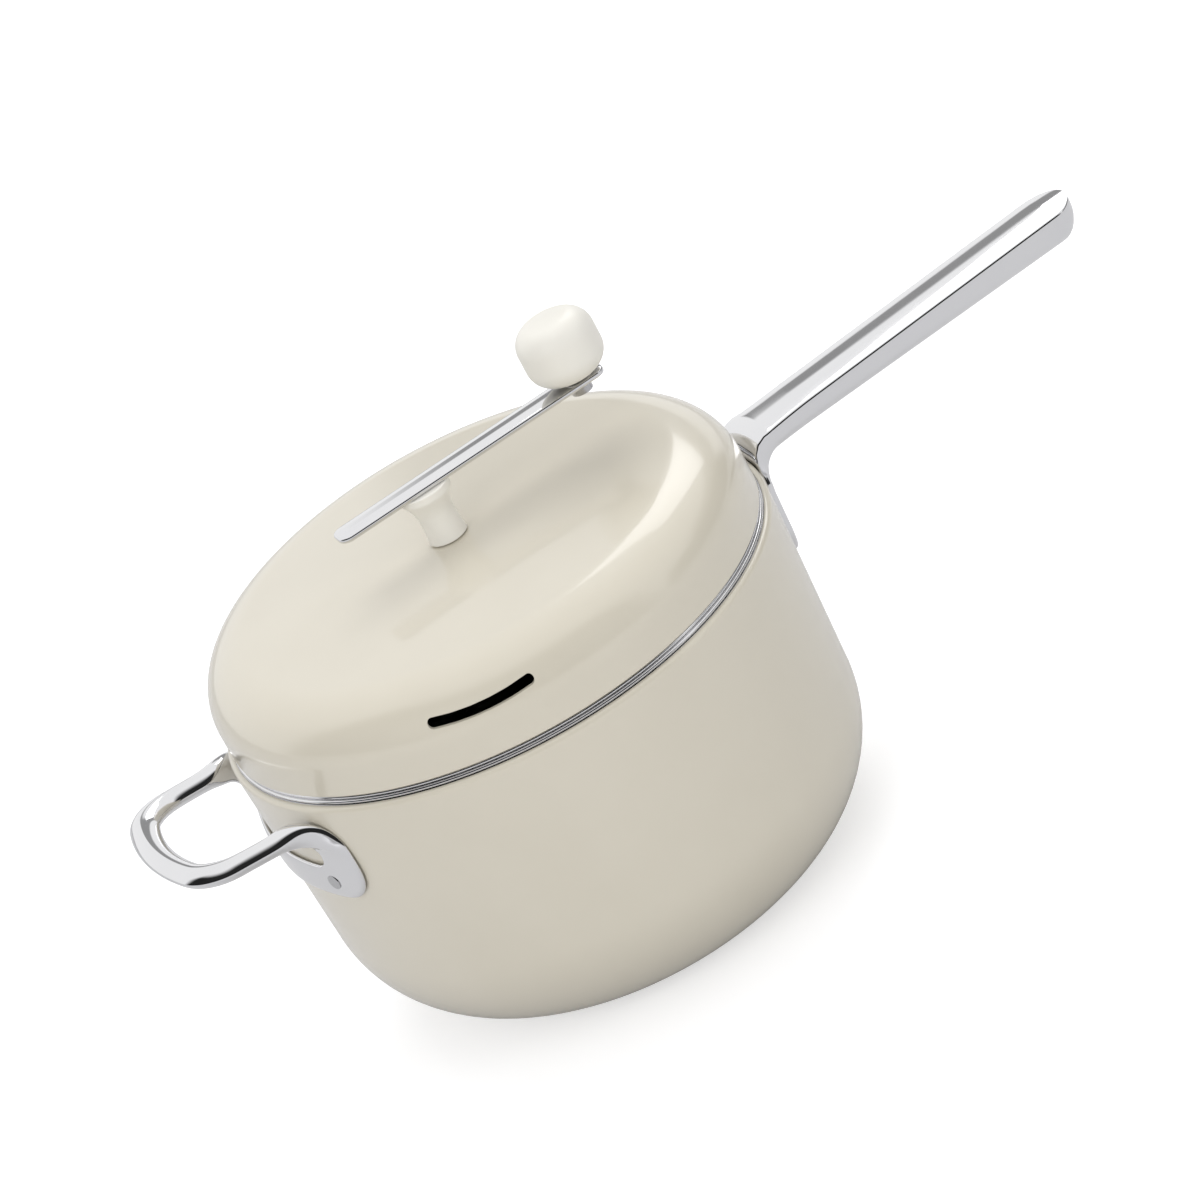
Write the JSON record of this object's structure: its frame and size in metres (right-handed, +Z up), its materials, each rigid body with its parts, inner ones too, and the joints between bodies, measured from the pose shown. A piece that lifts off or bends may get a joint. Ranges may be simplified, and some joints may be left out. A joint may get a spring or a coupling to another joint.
{
  "type": "stovetop popcorn popper",
  "caption": "Cream stovetop popcorn pot with a domed lid, a hand crank with a turning knob, a stirrer on the floor, a long handle and a helper loop.",
  "frame": {"origin": "middle of the flat base, on the surface it stands on", "axes": "+Z up along the crank's axis, +X along the long handle"},
  "size_m": [0.4648, 0.2418, 0.2343],
  "materials": {
    "cream_enamel": "smooth satin-gloss cream enamel",
    "polished_cast": "mirror-polished cast stainless steel",
    "cream_plastic": "satin moulded heat-proof plastic",
    "polished_steel": "mirror-polished stainless steel",
    "steel": "plain machined stainless steel",
    "spring_steel": "bright spring steel strip",
    "base_aluminium": "turned aluminium, fine rings",
    "brass": "turned brass",
    "bush_plastic": "black bearing plastic"
  },
  "bodies": {
    "pot": {"coated_body": "cream_enamel", "steel_liner": "polished_steel", "base_plate": "base_aluminium", "rim_band": "polished_steel", "sifter_ring": "spring_steel", "helper_handle": "polished_cast", "helper_rivets": "steel", "long_handle": "polished_cast", "long_handle_rivets": "steel"},
    "lid": {"lid_shell": "cream_enamel", "bearing_bush": "brass", "bush_washer": "steel", "bush_nut": "steel"},
    "crank": {"crank_arm": "polished_steel", "crank_hub": "cream_plastic", "crank_shaft": "steel", "thrust_washer": "bush_plastic", "shaft_clip": "spring_steel", "stirrer_socket": "steel", "socket_pins": "steel", "stirrer_rod": "steel", "stirrer_hub": "steel", "stirrer_arm_1": "spring_steel", "stirrer_arm_2": "spring_steel", "stirrer_tip": "bush_plastic", "knob_collar": "cream_plastic"},
    "knob": {"knob": "cream_plastic", "knob_insert": "brass", "knob_bolt": "steel", "knob_washer": "steel"}
  },
  "joints": [
    {"name": "lid_lift", "type": "slide", "parent": "pot", "child": "lid", "axis": [0, 0, 1], "range_m": [0, 0.16]},
    {"name": "crank_turn", "type": "hinge", "parent": "lid", "child": "crank", "pos_m": [0, 0, 0.18], "axis": [0, 0, 1], "continuous": true},
    {"name": "knob_spin", "type": "hinge", "parent": "crank", "child": "knob", "pos_m": [0.076, 0, 0.21], "axis": [0, 0, 1], "continuous": true}
  ]
}
